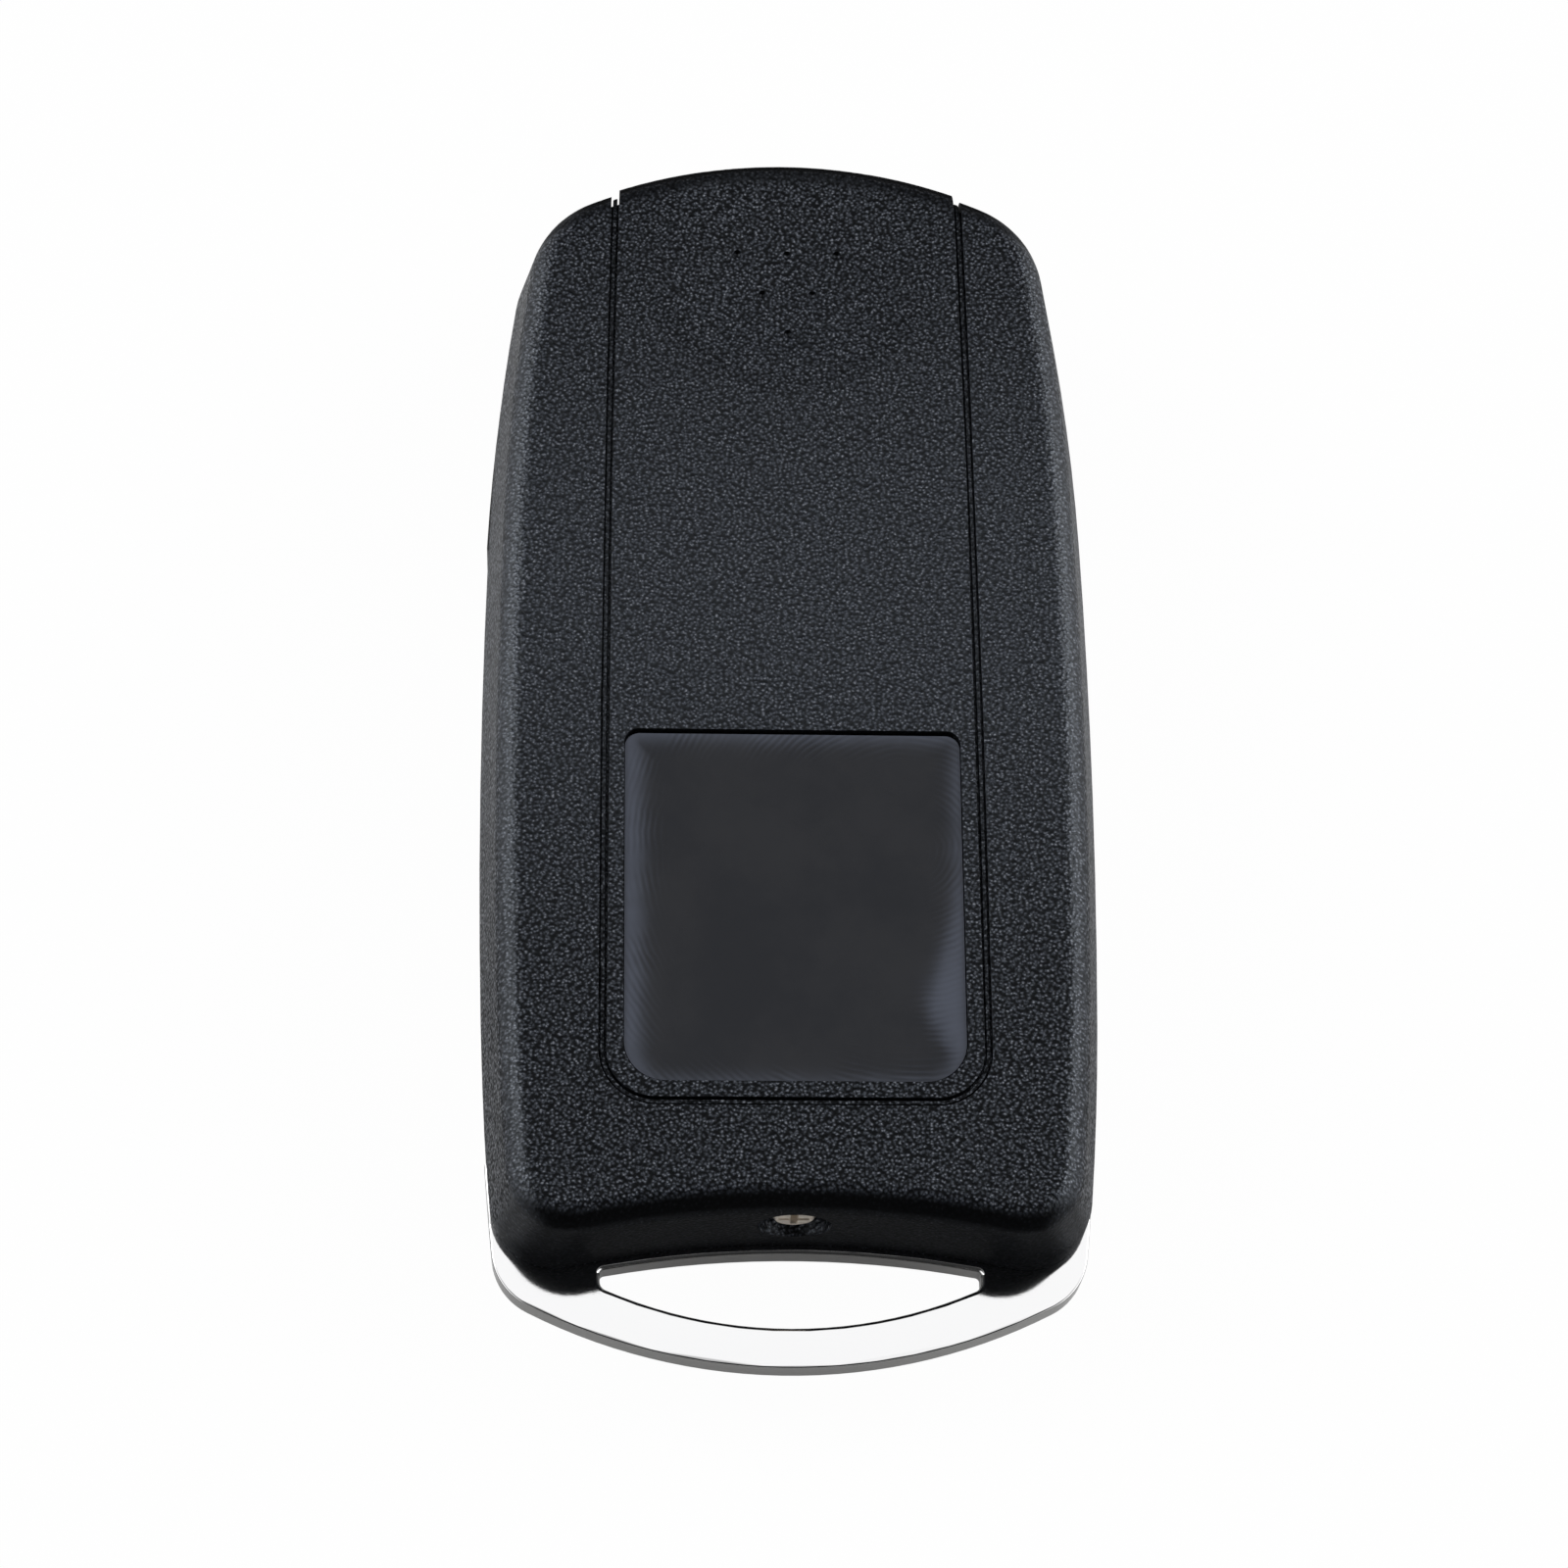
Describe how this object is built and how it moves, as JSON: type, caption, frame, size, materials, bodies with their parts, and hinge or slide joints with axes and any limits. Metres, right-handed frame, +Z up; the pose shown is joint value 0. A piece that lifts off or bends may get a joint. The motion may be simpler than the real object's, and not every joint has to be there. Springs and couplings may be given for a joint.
{
  "type": "flip remote key",
  "caption": "Folding car key: rounded remote case with a swivelling blade, a bright key ring frame, keys under the case and a glossy inlay on its back.",
  "frame": {"origin": "centre of the box round the whole key, on the flat button face that it rests on", "axes": "+X across to the right as seen from the rear face, +Y away from the key ring towards the blade's pivot end, +Z up through the rear face"},
  "size_m": [0.0384, 0.0788, 0.0152],
  "materials": {
    "shell_plastic": "fine grain, satin",
    "gloss_black": "smooth gloss",
    "bright_ring": "polished plating",
    "screw_brass": "worn satin",
    "blade_steel": "brushed",
    "pin_steel": "bright drawn",
    "button_rubber": "matt",
    "button_plastic": "satin",
    "board_green": "solder mask gloss",
    "switch_metal": "satin",
    "cell_steel": "bright",
    "contact_metal": "satin",
    "chip_black": "matt",
    "antenna_copper": "drawn wire",
    "glass_filled": "smooth",
    "clear_plastic": "clear"
  },
  "bodies": {
    "housing": {"rear_shell": "shell_plastic", "rear_inlay": "gloss_black", "front_shell": "shell_plastic", "key_ring_frame": "bright_ring", "end_screw": "screw_brass", "button_pad": "button_rubber", "circuit_board": "board_green", "key_switches": "switch_metal", "coin_cell": "cell_steel", "battery_clip": "cell_steel", "battery_contact": "contact_metal", "controller_chip": "chip_black", "crystal": "switch_metal", "chip_components": "chip_black", "antenna": "antenna_copper", "transponder_chip": "glass_filled", "indicator_led": "clear_plastic", "light_pipe": "clear_plastic"},
    "flip": {"flip_head": "gloss_black", "key_blade": "blade_steel", "blade_pin": "pin_steel", "flip_spring": "pin_steel"},
    "release_button": {"release_button": "bright_ring"},
    "lock_button": {"lock_button": "button_plastic"},
    "unlock_button": {"unlock_button": "button_plastic"},
    "trunk_button": {"trunk_button": "button_plastic"}
  },
  "joints": [
    {"name": "blade_flip", "type": "hinge", "parent": "housing", "child": "flip", "pos_m": [-0.00835, 0.0276, 0.0065], "axis": [0, 0, -1], "range_deg": [0, 180]},
    {"name": "release_press", "type": "slide", "parent": "housing", "child": "release_button", "axis": [0, 0, 1], "range_m": [0, 0.0015], "stiffness_N_per_m": 900, "springref_m": -0.001, "deforming": ["flip_spring"]},
    {"name": "lock_press", "type": "slide", "parent": "housing", "child": "lock_button", "axis": [0, 0, 1], "range_m": [0, 0.00035], "stiffness_N_per_m": 2000, "springref_m": -0.0003, "deforming": ["button_pad"]},
    {"name": "unlock_press", "type": "slide", "parent": "housing", "child": "unlock_button", "axis": [0, 0, 1], "range_m": [0, 0.00035], "stiffness_N_per_m": 2000, "springref_m": -0.0003, "deforming": ["button_pad"]},
    {"name": "trunk_press", "type": "slide", "parent": "housing", "child": "trunk_button", "axis": [0, 0, 1], "range_m": [0, 0.00035], "stiffness_N_per_m": 2000, "springref_m": -0.0003, "deforming": ["button_pad"]}
  ]
}
